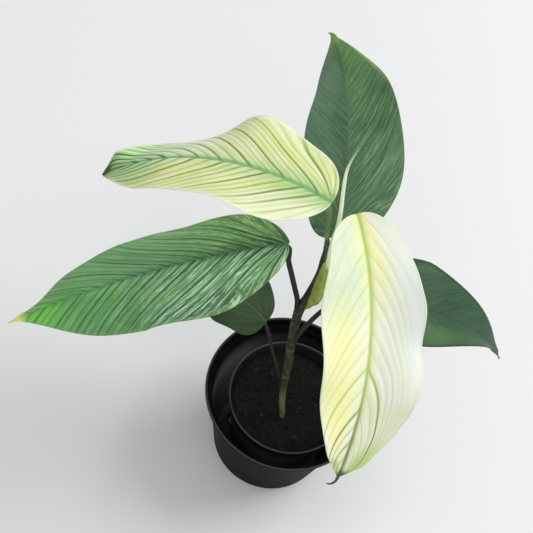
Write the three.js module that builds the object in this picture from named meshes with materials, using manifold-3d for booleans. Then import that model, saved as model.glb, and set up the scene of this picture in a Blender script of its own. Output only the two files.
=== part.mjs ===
// A potted scindapsus with long, gently waved leaves: an outer pot, a smaller grow pot that stands in it, soil,
// one stem, six leaves on their petioles and a rolled new leaf.
// Millimetres, +Z up. The origin is the centre of the outer pot's underside.
import * as THREE from 'three';
import { mergeVertices } from 'three/addons/utils/BufferGeometryUtils.js';
import Module from 'manifold-3d';

const wasm = await Module();
wasm.setup();

// Clearance between pieces that touch
const GAP = 0.3;

// Outer pot
const RIM_RADIUS = 60;
const POT_HEIGHT = 88;
const BASE_RADIUS = 42.5;
const STEP_HEIGHT = 80;
const STEP_RADIUS = 55.4;
const COLLAR_RADIUS = 58.4;
const LIP_DEPTH = 2.6;
const POT_WALL = 1.2;
const POT_FLOOR = 1.6;
const POT_SIDES = 56;
const POT_HOLES = { count: 8, radius: 4, ring: 30 };

// Grow pot, which stands a little off the outer pot's centre
const GROW_CENTRE = { x: 2.2, y: 1.6 };
const GROW_RIM_RADIUS = 44.5;
const GROW_RIM_HEIGHT = 78.5;
const GROW_TOP_RADIUS = 42.4;
const GROW_BASE_RADIUS = 32;
const GROW_WALL = 1.1;
const GROW_RIM_DEPTH = 3.2;
const GROW_SIDES = 48;
const GROW_HOLES = { count: 6, radius: 3.5, ring: 21 };
const GROW_BOTTOM = POT_FLOOR + GAP;
const GROW_FLOOR = GROW_BOTTOM + GROW_WALL;

// Soil
const SOIL_TOP = 69;
const SOIL_LUMP = 0.9;
const SOIL_SIDES = 40;
const SOIL_RINGS = 8;

// Stem, with the sheath at its top; each stop is a place on the stem and its radius there
const STEM_SIDES = 12;
const STEM_STEPS = 44;
const STEM_FOOT = new THREE.Vector3(3, -10, 38);
const STEM = [
  { at: STEM_FOOT, radius: 2.4 },
  { at: new THREE.Vector3(3, -10, 69), radius: 2.4 },
  { at: new THREE.Vector3(-1, -7, 84), radius: 3.0 },
  { at: new THREE.Vector3(-4.5, -2, 99), radius: 2.9 },
  { at: new THREE.Vector3(-8, 5, 124), radius: 3.2 },
  { at: new THREE.Vector3(-11, 8, 141), radius: 3.2 },
  { at: new THREE.Vector3(-14.5, 13, 168), radius: 3.6 },
  { at: new THREE.Vector3(-15, 15.5, 183), radius: 3.8 },
  { at: new THREE.Vector3(-12.2, 19, 198), radius: 4.3 },
  { at: new THREE.Vector3(-11.8, 24.5, 220), radius: 4.7 },
  { at: new THREE.Vector3(-13.3, 28.8, 243), radius: 4.4 },
];

// Leaves. The blade starts at the point "at" and sets off on its heading, in degrees round from +X, rising by
// "rise". It arches down by "arch" and swings sideways by "swing" over its length. "left" and "right" are the
// widths of its halves, seen from above along the midrib, and "widest" is how far along they are reached.
// "roll" turns the blade about its midrib, "twist" adds to that by the tip, and "fold" lifts both halves.
// "baseRound" and "tipDraw" shape the outline at its ends. "crown" lowers the margins. The margins wave
// "waves" times over the length, by "waveLeft" and "waveRight", and start at their phases. Each trim is a side, a
// place along, the share that the blade is wider there, and how far that reaches. A droop lifts the margin
// in the same way, in mm, and a minus sign lowers it.
const LEAVES = {
  leaf_1: {
    at: [-37, 13, 260], heading: 211, rise: -8.9, arch: 6.3, swing: 15.4, length: 178.2, left: 37.5,
    right: 46.9, widest: 0.57, roll: -4.8, twist: 31.8, fold: -23.9, baseRound: 0.447, tipDraw: 1.28,
    crown: 2.3, waves: 1.759, waveLeft: 6.4, waveRight: 5.5, phaseLeft: 0.331, phaseRight: 0.052,
    trims: [
      ['right', 0.85, 0.628, 0.1], ['right', 0.45, 0.13, 0.1], ['left', 0.93, 0.027, 0.05],
      ['right', 0.95, -0.101, 0.05]
    ],
    droops: [['right', 0.1, 2.82, 0.1]],
    petiole: [[-14.4, 13, 166], [-16.6, 14.4, 180], [-18.8, 14.8, 193], [-23.2, 14, 208],
      [-28.6, 12.8, 226], [-33, 10.8, 243], [-36.2, 11.6, 256]],
    petioleRadius: 1.8,
  },
  leaf_2: {
    at: [-21, 22, 308], heading: 171.8, rise: 2.6, arch: 60.6, swing: 20, length: 171, left: 38.1,
    right: 55.7, widest: 0.364, roll: 10.1, twist: 19.5, fold: -3.8, baseRound: 0.518, tipDraw: 3.07,
    crown: 2.1, waves: 1.852, waveLeft: 5.3, waveRight: 7.6, phaseLeft: 0.534, phaseRight: 0.44,
    trims: [['right', 0.93, -0.415, 0.05], ['left', 0.93, -0.025, 0.05]],
    droops: [['right', 0.56, -4.61, 0.12], ['right', 0.93, 8.57, 0.06], ['left', 0.62, 7.15, 0.12]],
    petiole: [[-14.6, 26, 230], [-16.2, 27, 246], [-17.8, 26.4, 275], [-20, 23.6, 298]],
    petioleRadius: 1.8,
  },
  leaf_3: {
    at: [-5, 32, 292], heading: -50.8, rise: -10.2, arch: 60.8, swing: -32.5, length: 179.9, left: 33.1,
    right: 36.8, widest: 0.393, roll: 9.8, twist: -35.1, fold: 20.5, baseRound: 0.479, tipDraw: 2.45,
    crown: 0.1, waves: 2.965, waveLeft: 5.8, waveRight: 3.7, phaseLeft: 0.382, phaseRight: 0.793,
    trims: [
      ['left', 0.27, -0.034, 0.05], ['left', 0.53, 0.087, 0.06], ['right', 0.15, -0.052, 0.08],
      ['left', 0.8, 0.196, 0.08], ['left', 0.93, 0.129, 0.05], ['right', 0.93, -0.138, 0.05]
    ],
    petiole: [[-13, 30, 230], [-12, 31.8, 245], [-9.8, 32.2, 262], [-7.4, 32.4, 277]],
    petioleRadius: 1.7,
  },
  leaf_4: {
    at: [17, 30, 207], heading: 11.4, rise: 4.1, arch: 67.7, swing: 17.9, length: 140.1, left: 33.8,
    right: 26.7, widest: 0.319, roll: 4.3, twist: -2, fold: 15.6, baseRound: 0.452, tipDraw: 1.29,
    crown: 0.8, waves: 1.432, waveLeft: 1.5, waveRight: 9.1, phaseLeft: 0.177, phaseRight: 0.355,
    trims: [['left', 0.93, -0.036, 0.06]],
    petiole: [[-10.4, 7.8, 139], [-9.2, 10.4, 156], [-5.4, 13.4, 174], [-1, 17.4, 187], [6.2, 24, 199]],
    petioleRadius: 1.7,
  },
  leaf_5: {
    at: [-10, 42, 244], heading: 103.1, rise: 8.2, arch: 31.9, swing: 15.2, length: 183.5, left: 41.8,
    right: 35.9, widest: 0.459, roll: -32, twist: -3.3, fold: -21, baseRound: 0.335, tipDraw: 2.04,
    crown: 2.3, waves: 1.548, waveLeft: -3.1, waveRight: 6.4, phaseLeft: 0.814, phaseRight: 0.358,
    trims: [['left', 0.9, 0.225, 0.08]],
    petiole: [[-12.2, 20, 199], [-12.4, 29, 214], [-12, 36, 229]],
    petioleRadius: 1.8,
  },
  leaf_6: {
    at: [-33, 13, 150], heading: 167, rise: 25, arch: 39, swing: -1, length: 71,
    left: 27, right: 23, widest: 0.37, roll: 1, twist: 0, fold: 7, baseRound: 0.34, tipDraw: 1.9,
    crown: 1, waves: 2.4, waveLeft: 3.4, waveRight: 2.7, phaseLeft: 0.71, phaseRight: 0.59,
    petiole: [[-2.6, -4.6, 91], [-6.4, -1.6, 101], [-13.6, 2, 113], [-22, 6.4, 127], [-28.6, 10.4, 140]],
    petioleRadius: 1.3,
  },
};
const BLADE_THICKNESS = 0.8;
const BLADE_END_WIDTH = 0.8;
const BLADE_STEPS = 25;
const HALF_STEPS = 4;
const PETIOLE_SIDES = 8;
const PETIOLE_STEPS = 18;
const RIB_REACH = [0.03, 0.1, 0.2, 0.32];
const RIB_DEPTH = 0.8;
const RIB_END_RADIUS = 0.5;

// Rolled new leaf
const NEW_LEAF_SIDES = 10;
const NEW_LEAF_STEPS = 26;
const NEW_LEAF = [
  { at: new THREE.Vector3(-11.3, 26, 231), radius: 1.3 },
  { at: new THREE.Vector3(-10.8, 27.2, 245), radius: 1.4 },
  { at: new THREE.Vector3(-12.7, 28.4, 275), radius: 1.5 },
  { at: new THREE.Vector3(-15.5, 29.6, 297), radius: 1.4 },
  { at: new THREE.Vector3(-18.3, 30.4, 315), radius: 1.2 },
  { at: new THREE.Vector3(-20.2, 30.2, 332), radius: 0.95 },
  { at: new THREE.Vector3(-19.8, 28, 348), radius: 0.65 },
  { at: new THREE.Vector3(-18.5, 24.8, 364), radius: 0.35 },
];

const radians = THREE.MathUtils.degToRad;

// A geometry as indexed triangles over merged points, without the flat ones that poles leave
function merged(geometry) {
  const bare = geometry.index ? geometry.clone() : geometry;
  bare.deleteAttribute('normal');
  bare.deleteAttribute('uv');
  const joined = mergeVertices(bare, 1e-4);
  const kept = [];
  for (let i = 0; i < joined.index.count; i += 3) {
    const [a, b, c] = [0, 1, 2].map((k) => joined.index.getX(i + k));
    if (a !== b && b !== c && c !== a) kept.push(a, b, c);
  }
  joined.setIndex(kept);
  return joined;
}

function solid(geometry) {
  const closed = merged(geometry);
  return new wasm.Manifold(new wasm.Mesh({
    numProp: 3,
    vertProperties: new Float32Array(closed.attributes.position.array),
    triVerts: new Uint32Array(closed.index.array),
  }));
}

function geometryOf(manifold) {
  const mesh = manifold.getMesh();
  const geometry = new THREE.BufferGeometry();
  geometry.setAttribute('position', new THREE.BufferAttribute(mesh.vertProperties, 3));
  geometry.setIndex(new THREE.BufferAttribute(mesh.triVerts, 1));
  return geometry;
}

function piece(name, geometry, color, roughness) {
  const mesh = new THREE.Mesh(geometry, new THREE.MeshStandardMaterial({ color, roughness, metalness: 0 }));
  mesh.name = name;
  return mesh;
}

// A profile of [radius, height] points turned about the Z axis
function turned(profile, sides) {
  const points = profile.map(([radius, height]) => new THREE.Vector2(radius, height));
  return new THREE.LatheGeometry(points, sides).rotateX(Math.PI / 2);
}

// Upright round cutters in a ring, for drain holes
function drainHoles({ count, radius, ring }, bottom, top) {
  const cutters = [];
  for (let i = 0; i < count; i += 1) {
    const angle = (i / count) * 2 * Math.PI;
    const cutter = new THREE.CylinderGeometry(radius, radius, top - bottom, 12).rotateX(Math.PI / 2);
    cutter.translate(ring * Math.cos(angle), ring * Math.sin(angle), (top + bottom) / 2);
    cutters.push(solid(cutter));
  }
  return cutters;
}

function pierced(geometry, cutters) {
  return geometryOf(cutters.reduce((body, cutter) => body.subtract(cutter), solid(geometry)));
}

function outerPot() {
  const innerCollar = COLLAR_RADIUS - POT_WALL;
  const profile = [
    [0, 0],
    [BASE_RADIUS - 1, 0],
    [BASE_RADIUS, 1],
    [STEP_RADIUS, STEP_HEIGHT],
    [COLLAR_RADIUS - 0.4, STEP_HEIGHT + 1.4],
    [COLLAR_RADIUS, POT_HEIGHT - LIP_DEPTH],
    [RIM_RADIUS, POT_HEIGHT - LIP_DEPTH],
    [RIM_RADIUS, POT_HEIGHT - 0.8],
    [RIM_RADIUS - 0.8, POT_HEIGHT],
    [innerCollar + 0.7, POT_HEIGHT],
    [innerCollar, POT_HEIGHT - 0.7],
    [innerCollar - 0.4, STEP_HEIGHT + 1.4 + POT_WALL],
    [STEP_RADIUS - POT_WALL, STEP_HEIGHT + POT_WALL],
    [BASE_RADIUS - POT_WALL, POT_FLOOR + 1],
    [BASE_RADIUS - POT_WALL - 1, POT_FLOOR],
    [0, POT_FLOOR],
  ];
  return pierced(turned(profile, POT_SIDES), drainHoles(POT_HOLES, -1, POT_FLOOR + 1));
}

// The grow pot's inner wall, which the soil follows
const growInnerTop = GROW_TOP_RADIUS - GROW_WALL;
const growInnerBase = GROW_BASE_RADIUS - GROW_WALL;
const growWallTop = GROW_RIM_HEIGHT - GROW_RIM_DEPTH;

function growInnerRadius(height) {
  const share = (height - GROW_FLOOR) / (growWallTop - GROW_FLOOR);
  return THREE.MathUtils.lerp(growInnerBase, growInnerTop, share);
}

function growPot() {
  const profile = [
    [0, GROW_BOTTOM],
    [GROW_BASE_RADIUS - 1, GROW_BOTTOM],
    [GROW_BASE_RADIUS, GROW_BOTTOM + 1],
    [GROW_TOP_RADIUS, growWallTop],
    [GROW_RIM_RADIUS - 0.3, growWallTop],
    [GROW_RIM_RADIUS, GROW_RIM_HEIGHT - 0.8],
    [GROW_RIM_RADIUS - 0.8, GROW_RIM_HEIGHT],
    [growInnerTop + 0.9, GROW_RIM_HEIGHT],
    [growInnerTop + 0.2, GROW_RIM_HEIGHT - 0.7],
    [growInnerTop, growWallTop],
    [growInnerBase, GROW_FLOOR],
    [0, GROW_FLOOR],
  ];
  const body = pierced(turned(profile, GROW_SIDES), drainHoles(GROW_HOLES, GROW_BOTTOM - 1, GROW_FLOOR + 1));
  return body.translate(GROW_CENTRE.x, GROW_CENTRE.y, 0);
}

// Gentle heaps and hollows in the soil's top
function soilLump(x, y) {
  return SOIL_LUMP * (Math.sin(x / 5.3 + 0.6) * Math.cos(y / 6.1) + 0.6 * Math.sin((x - 2 * y) / 7.7));
}

function soil() {
  const bottom = GROW_FLOOR + GAP;
  const topRadius = growInnerRadius(SOIL_TOP) - GAP;
  const profile = [[0, bottom], [growInnerRadius(bottom) - GAP, bottom], [topRadius, SOIL_TOP]];
  for (let ring = SOIL_RINGS - 1; ring >= 0; ring -= 1) profile.push([(topRadius * ring) / SOIL_RINGS, SOIL_TOP]);
  const body = turned(profile, SOIL_SIDES);
  const points = body.attributes.position;
  for (let i = 0; i < points.count; i += 1) {
    const [x, y, z] = [points.getX(i), points.getY(i), points.getZ(i)];
    const inside = 1 - Math.hypot(x, y) / topRadius;
    if (z > SOIL_TOP - GAP) points.setZ(i, z + soilLump(x, y) * Math.min(1, Math.max(0, inside) * 4));
  }
  body.translate(GROW_CENTRE.x, GROW_CENTRE.y, 0);
  const holeBottom = STEM_FOOT.z - GAP;
  const holeTop = SOIL_TOP + 10;
  const hole = new THREE.CylinderGeometry(1, 1, holeTop - holeBottom, STEM_SIDES).rotateX(Math.PI / 2);
  const holeRadius = STEM[2].radius + GAP;
  hole.scale(holeRadius, holeRadius, 1).translate(STEM_FOOT.x, STEM_FOOT.y, (holeTop + holeBottom) / 2);
  return pierced(body, [solid(hole)]);
}

// A closed round stalk along a smooth line through its points, with a radius at each point
function stalk(points, radii, sides, steps, grow = 0) {
  const line = new THREE.CatmullRomCurve3(points, false, 'centripetal');
  const frames = line.computeFrenetFrames(steps, false);
  const positions = [];
  const last = points.length - 1;
  for (let i = 0; i <= steps; i += 1) {
    const u = line.getUtoTmapping(i / steps);
    const centre = line.getPoint(u);
    const before = Math.min(last - 1, Math.floor(u * last));
    const radius = grow + THREE.MathUtils.lerp(radii[before], radii[before + 1], u * last - before);
    if (i === 0) positions.push(...centre.clone().addScaledVector(frames.tangents[0], -grow));
    for (let k = 0; k < sides; k += 1) {
      const angle = (k / sides) * 2 * Math.PI;
      const point = centre.clone();
      if (i === 0) point.addScaledVector(frames.tangents[0], -grow);
      point.addScaledVector(frames.normals[i], radius * Math.cos(angle));
      point.addScaledVector(frames.binormals[i], radius * Math.sin(angle));
      positions.push(...point);
    }
    if (i === steps) positions.push(...centre);
  }
  const index = [];
  const corner = (i, k) => 1 + i * sides + (k % sides);
  for (let k = 0; k < sides; k += 1) {
    index.push(0, corner(0, k + 1), corner(0, k));
    for (let i = 0; i < steps; i += 1) {
      index.push(corner(i, k), corner(i, k + 1), corner(i + 1, k));
      index.push(corner(i, k + 1), corner(i + 1, k + 1), corner(i + 1, k));
    }
    index.push(corner(steps, k), corner(steps, k + 1), positions.length / 3 - 1);
  }
  const geometry = new THREE.BufferGeometry();
  geometry.setAttribute('position', new THREE.Float32BufferAttribute(positions, 3));
  geometry.setIndex(index);
  return geometry;
}

// The midrib as a run of frames: its point, its left side and the way the blade faces there
const RIB_FRAMES = 120;

function midrib(leaf) {
  const frames = [];
  const point = new THREE.Vector3(...leaf.at);
  for (let i = 0; i <= RIB_FRAMES; i += 1) {
    const s = i / RIB_FRAMES;
    const heading = radians(leaf.heading + leaf.swing * s);
    const pitch = radians(leaf.rise - leaf.arch * s);
    const forward = new THREE.Vector3(Math.cos(pitch) * Math.cos(heading),
      Math.cos(pitch) * Math.sin(heading), Math.sin(pitch));
    const side = new THREE.Vector3(-Math.sin(heading), Math.cos(heading), 0);
    side.applyAxisAngle(forward, radians(leaf.roll + leaf.twist * s));
    const face = new THREE.Vector3().crossVectors(forward, side);
    frames.push({ point: point.clone(), side, face });
    point.addScaledVector(forward, leaf.length / RIB_FRAMES);
  }
  return frames;
}

function frameAt(frames, s) {
  const place = THREE.MathUtils.clamp(s, 0, 1) * RIB_FRAMES;
  const before = Math.min(RIB_FRAMES - 1, Math.floor(place));
  const [a, b] = [frames[before], frames[before + 1]];
  const blend = (key) => a[key].clone().lerp(b[key], place - before);
  return { point: blend('point'), side: blend('side'), face: blend('face') };
}

// What the local changes on one side come to at s
function swellings(changes, s, side) {
  return (changes ?? []).filter(([where]) => where === side)
    .map(([, at, amount, reach]) => amount * Math.exp(-(((s - at) / reach) ** 2)));
}

// How wide the blade is at s, as a share of its greatest width
function fullness(leaf, s, side) {
  const full = s < leaf.widest
    ? (1 - (1 - s / leaf.widest) ** 2) ** leaf.baseRound
    : 1 - ((s - leaf.widest) / (1 - leaf.widest)) ** leaf.tipDraw;
  return swellings(leaf.trims, s, side).reduce((width, share) => width * (1 + share), full);
}

// A point of the blade's middle sheet: s runs from base to tip, across from -1 at the right margin to 1
function bladePoint(leaf, frames, s, across) {
  const { point, side, face } = frameAt(frames, s);
  const left = across > 0;
  const sideName = left ? 'left' : 'right';
  const reach = Math.abs(across);
  const full = fullness(leaf, THREE.MathUtils.clamp(s, 0, 1), sideName);
  const half = Math.max(full * (left ? leaf.left : leaf.right), BLADE_END_WIDTH) * reach;
  const height = left ? leaf.waveLeft : leaf.waveRight;
  const phase = left ? leaf.phaseLeft : leaf.phaseRight;
  const swell = Math.sin(Math.PI * THREE.MathUtils.clamp(s, 0, 1)) ** 0.6;
  const droop = swellings(leaf.droops, s, sideName).reduce((sum, mm) => sum + mm, 0);
  const wave = (height * swell * Math.sin(2 * Math.PI * (leaf.waves * s + phase)) + droop) * reach ** 2;
  const fold = radians(leaf.fold);
  const lift = half * Math.sin(fold) - leaf.crown * reach ** 2 * full + wave;
  return point.clone()
    .addScaledVector(side, Math.sign(across) * half * Math.cos(fold))
    .addScaledVector(face, lift);
}

// The blade as a thin closed body: two like sheets of triangles and the strip round their edge
function blade(leaf, frames) {
  const rows = BLADE_STEPS + 1;
  const columns = 2 * HALF_STEPS + 1;
  const positions = [];
  const NEAR = 1e-3;
  for (const sheet of [1, -1]) {
    for (let i = 0; i < rows; i += 1) {
      // Stations crowd towards both ends, where the outline turns fastest
      const even = i / BLADE_STEPS;
      const s = even - 0.1 * Math.sin(2 * Math.PI * even);
      for (let j = 0; j < columns; j += 1) {
        const across = j / HALF_STEPS - 1;
        const [s0, s1] = [Math.max(0, s - NEAR), Math.min(1, s + NEAR)];
        const along = bladePoint(leaf, frames, s1, across).sub(bladePoint(leaf, frames, s0, across));
        const over = bladePoint(leaf, frames, s, across + NEAR).sub(bladePoint(leaf, frames, s, across - NEAR));
        const middle = frameAt(frames, s).face;
        const normal = along.cross(over).normalize();
        if (!(normal.dot(middle) > 0.3)) normal.copy(middle).normalize();
        positions.push(...bladePoint(leaf, frames, s, across)
          .addScaledVector(normal, (sheet * BLADE_THICKNESS) / 2));
      }
    }
  }
  const size = rows * columns;
  const top = (i, j) => i * columns + j;
  const under = (i, j) => size + top(i, j);
  const index = [];
  for (let i = 0; i < rows - 1; i += 1) {
    for (let j = 0; j < columns - 1; j += 1) {
      const [a, b, c, d] = [[i, j], [i + 1, j], [i + 1, j + 1], [i, j + 1]];
      const cut = j < HALF_STEPS ? [[a, b, c], [a, c, d]] : [[a, b, d], [b, c, d]];
      for (const [p, q, r] of cut) {
        index.push(top(...p), top(...q), top(...r));
        index.push(under(...p), under(...r), under(...q));
      }
    }
  }
  const rim = [];
  for (let i = 0; i < rows - 1; i += 1) rim.push([i, 0]);
  for (let j = 0; j < columns - 1; j += 1) rim.push([rows - 1, j]);
  for (let i = rows - 1; i > 0; i -= 1) rim.push([i, columns - 1]);
  for (let j = columns - 1; j > 0; j -= 1) rim.push([0, j]);
  rim.forEach((p, k) => {
    const q = rim[(k + 1) % rim.length];
    index.push(top(...q), top(...p), under(...p));
    index.push(top(...q), under(...p), under(...q));
  });
  const geometry = new THREE.BufferGeometry();
  geometry.setAttribute('position', new THREE.Float32BufferAttribute(positions, 3));
  geometry.setIndex(index);
  return geometry;
}

// The petiole runs from the stem to the blade and on under the midrib as a tapering rib
function petiole(leaf, frames, grow = 0) {
  const route = leaf.petiole.map((place) => new THREE.Vector3(...place));
  const radii = route.map(() => leaf.petioleRadius);
  RIB_REACH.forEach((s, i) => {
    const { point, face } = frameAt(frames, s);
    route.push(point.clone().addScaledVector(face, -RIB_DEPTH));
    radii.push(THREE.MathUtils.lerp(leaf.petioleRadius, RIB_END_RADIUS, (i + 1) / RIB_REACH.length));
  });
  return stalk(route, radii, PETIOLE_SIDES, PETIOLE_STEPS, grow);
}

const LEAF_COLORS = {
  leaf_1: 0x5f8f5c, leaf_2: 0xd3dc95, leaf_3: 0xe9ecc6, leaf_4: 0x3d6b4f, leaf_5: 0x4a7656, leaf_6: 0x3f5f3a,
};

const newLeafPoints = NEW_LEAF.map((stop) => stop.at);
const newLeafRadii = NEW_LEAF.map((stop) => stop.radius);

// Each petiole and the new leaf stand in a socket of the stem, with the clearance all round
function stem() {
  const body = stalk(STEM.map((stop) => stop.at), STEM.map((stop) => stop.radius), STEM_SIDES, STEM_STEPS);
  const sockets = Object.values(LEAVES).map((leaf) => solid(petiole(leaf, midrib(leaf), GAP + 0.1)));
  sockets.push(solid(stalk(newLeafPoints, newLeafRadii, NEW_LEAF_SIDES, NEW_LEAF_STEPS, GAP + 0.1)));
  return pierced(body, sockets);
}

const plant = new THREE.Group();
plant.add(piece('outer_pot', outerPot(), 0x1c1c1e, 0.45));
plant.add(piece('grow_pot', growPot(), 0x1c1c1e, 0.45));
plant.add(piece('soil', soil(), 0x201a16, 0.95));
plant.add(piece('stem', stem(), 0x59652f, 0.6));
for (const [name, leaf] of Object.entries(LEAVES)) {
  const frames = midrib(leaf);
  const grown = solid(blade(leaf, frames)).add(solid(petiole(leaf, frames)));
  plant.add(piece(name, geometryOf(grown), LEAF_COLORS[name], 0.5));
}
plant.add(piece('new_leaf', stalk(newLeafPoints, newLeafRadii, NEW_LEAF_SIDES, NEW_LEAF_STEPS), 0xdde2b0, 0.5));

export default plant;
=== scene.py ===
# %% [markdown]
# # A potted scindapsus, piece by piece
#
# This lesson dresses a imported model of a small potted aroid: two black nursery pots, soil, one stem, six leaves on
# their petioles and a rolled new leaf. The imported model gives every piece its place, in metres. Each step here makes
# one piece finer than the solid it stands for, or gives it its finish.

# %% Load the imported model
import math
import random

import bmesh
import bpy
import numpy as np
from mathutils import Matrix, Vector


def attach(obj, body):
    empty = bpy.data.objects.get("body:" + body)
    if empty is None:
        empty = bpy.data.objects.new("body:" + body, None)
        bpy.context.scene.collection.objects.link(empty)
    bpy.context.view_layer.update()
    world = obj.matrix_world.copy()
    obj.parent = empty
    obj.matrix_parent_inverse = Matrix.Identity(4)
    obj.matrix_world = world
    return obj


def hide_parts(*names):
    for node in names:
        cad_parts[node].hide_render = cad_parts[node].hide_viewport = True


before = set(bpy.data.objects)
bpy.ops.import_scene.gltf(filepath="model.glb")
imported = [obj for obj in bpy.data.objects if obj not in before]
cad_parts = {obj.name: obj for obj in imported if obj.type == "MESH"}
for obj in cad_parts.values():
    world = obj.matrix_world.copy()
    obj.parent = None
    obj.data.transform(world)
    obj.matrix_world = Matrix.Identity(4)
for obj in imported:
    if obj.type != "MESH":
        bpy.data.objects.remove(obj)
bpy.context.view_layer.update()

MM = 0.001
print("nodes:", sorted(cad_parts))

# %% [markdown]
# ## The camera
#
# The plant is seen from above and in front. The camera's place and the directions of its picture come from the
# rims of the pots, which are circles that look like ellipses. A long lens turned towards the plant's middle fills
# the frame without changing how near and far parts line up.

# %% Make the camera
CAMERA_PLACE = Vector((0, -0.4468, 1.0301))
VIEW_FORWARD = Vector((-0.2642, 0.5348, -0.8026))
VIEW_RIGHT = Vector((0.8876, 0.4603, 0.0145))
VIEW_DOWN = Vector((0.3772, -0.7086, -0.5963))
AIM_RIGHT, AIM_DOWN = 0.176, 0.154
LENS = 97
NEAREST, FURTHEST = 0.05, 50

aim = (VIEW_FORWARD + AIM_RIGHT * VIEW_RIGHT + AIM_DOWN * VIEW_DOWN).normalized()
swing = VIEW_FORWARD.rotation_difference(aim)
camera = bpy.data.objects.new("camera", bpy.data.cameras.new("camera"))
camera.data.lens = LENS
camera.data.clip_start, camera.data.clip_end = NEAREST, FURTHEST
facing = Matrix((swing @ VIEW_RIGHT, -(swing @ VIEW_DOWN), -aim)).transposed()
camera.matrix_world = Matrix.Translation(CAMERA_PLACE) @ facing.to_4x4()
bpy.context.scene.collection.objects.link(camera)
bpy.context.scene.camera = camera
print("camera at", tuple(camera.location), "aims along", tuple(round(x, 3) for x in aim))

# %% [markdown]
# ## Floor and light
#
# A plain pale floor and soft light keep the eye on the plant. One wide lamp stands high on the right, so shadows
# fall softly to the left, and a pale sky fills them. Standard colour keeps near-white leaves near white.

# %% Light the room
FLOOR_SIZE = 6
KEY_PLACE, KEY_SIZE, KEY_POWER = Vector((0.75, 0.75, 1.7)), 1.1, 21
FILL_PLACE, FILL_SIZE, FILL_POWER = Vector((0.15, -1.5, 1.0)), 1.6, 7
PLANT_MIDDLE = Vector((0, 0, 0.15))
SKY_STRENGTH = 0.5


def softbox(name, place, size, power):
    """A square lamp that looks at the middle of the plant."""
    lamp = bpy.data.objects.new(name, bpy.data.lights.new(name, "AREA"))
    lamp.data.size, lamp.data.energy = size, power
    lamp.location = place
    lamp.rotation_euler = (PLANT_MIDDLE - place).to_track_quat("-Z", "Y").to_euler()
    bpy.context.scene.collection.objects.link(lamp)


softbox("key_softbox", KEY_PLACE, KEY_SIZE, KEY_POWER)
softbox("fill_softbox", FILL_PLACE, FILL_SIZE, FILL_POWER)
world = bpy.data.worlds.new("pale_sky")
world.use_nodes = True
world.node_tree.nodes["Background"].inputs["Color"].default_value = (1, 1, 1, 1)
world.node_tree.nodes["Background"].inputs["Strength"].default_value = SKY_STRENGTH
bpy.context.scene.world = world
bpy.context.scene.view_settings.view_transform = "Standard"
print("two softboxes and a pale sky")

# %% [markdown]
# ## Writing materials as sums
#
# A finish is easier to read as arithmetic than as a page of nodes. `Shade` wraps one socket, and adding or
# multiplying shades adds the Math nodes. `Finish` owns a material: its `node` method makes any other node, sets its
# options first and then feeds its sockets. Colours are written as a screen shows them, three numbers from 0 to 255,
# and `mix` turns them into the light that a shader works in.


# %% Sockets that can be added and multiplied
def light_of(colour):
    """The light in a colour of three numbers, each 0 to 255."""
    shares = [c / 255 for c in colour]
    return (*[s / 12.92 if s <= 0.04045 else ((s + 0.055) / 1.055) ** 2.4 for s in shares], 1)


class Shade:
    """One output of a node. Arithmetic on it adds Math nodes to its finish."""

    def __init__(self, finish, socket):
        self.finish, self.socket = finish, socket

    def sum_of(self, operation, first, second):
        return self.finish.node("ShaderNodeMath", {"operation": operation}, {0: first, 1: second})

    def __add__(self, other):
        return self.sum_of("ADD", self, other)

    def __sub__(self, other):
        return self.sum_of("SUBTRACT", self, other)

    def __rsub__(self, other):
        return self.sum_of("SUBTRACT", other, self)

    def __mul__(self, other):
        return self.sum_of("MULTIPLY", self, other)

    __radd__ = __add__
    __rmul__ = __mul__


class Finish:
    """A material and the nodes that paint it."""

    def __init__(self, name, **fixed):
        self.material = bpy.data.materials.new(name)
        self.material.use_nodes = True
        self.tree = self.material.node_tree
        self.shader = self.tree.nodes["Principled BSDF"]
        for socket, value in fixed.items():
            self.shader.inputs[socket.replace("_", " ")].default_value = value

    def node(self, kind, settings, feeds, output=0):
        node = self.tree.nodes.new(kind)
        for setting, value in settings.items():
            setattr(node, setting, value)
        for socket, value in feeds.items():
            if isinstance(value, Shade):
                self.tree.links.new(value.socket, node.inputs[socket])
            else:
                node.inputs[socket].default_value = value
        return Shade(self, node.outputs[output])

    def paint(self, socket, shade):
        self.tree.links.new(shade.socket, self.shader.inputs[socket])

    def read(self, name):
        """The three numbers that a mesh attribute holds at each point."""
        place = self.node("ShaderNodeAttribute", {"attribute_name": name}, {}, "Vector")
        return [self.node("ShaderNodeSeparateXYZ", {}, {0: place}, axis) for axis in "XYZ"]

    def join(self, x, y, z):
        return self.node("ShaderNodeCombineXYZ", {}, {0: x, 1: y, 2: z})

    def object_place(self):
        return self.node("ShaderNodeTexCoord", {}, {}, "Object")

    def noise(self, vector, scale, detail=2.0, roughness=0.5):
        feeds = {"Vector": vector, "Scale": scale, "Detail": detail, "Roughness": roughness}
        return self.node("ShaderNodeTexNoise", {}, feeds)

    def ease(self, value, low, high):
        """0 up to low, 1 from high, and a soft step between them. With low above high it falls instead."""
        feeds = {0: value, 1: low, 2: high, 3: 0.0, 4: 1.0}
        return self.node("ShaderNodeMapRange", {"interpolation_type": "SMOOTHSTEP"}, feeds)

    def mix(self, share, first, second):
        """A share of the second over the first. Both are shades or colours of three numbers."""
        first, second = [side if isinstance(side, Shade) else light_of(side) for side in (first, second)]
        feeds = {0: share, 6: first, 7: second}
        return self.node("ShaderNodeMix", {"data_type": "RGBA", "clamp_factor": True}, feeds, 2)

    def bump(self, height, strength, depth):
        feeds = {"Height": height, "Strength": strength, "Distance": depth}
        self.paint("Normal", self.node("ShaderNodeBump", {}, feeds))


print("materials are written with Shade and Finish")
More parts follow.
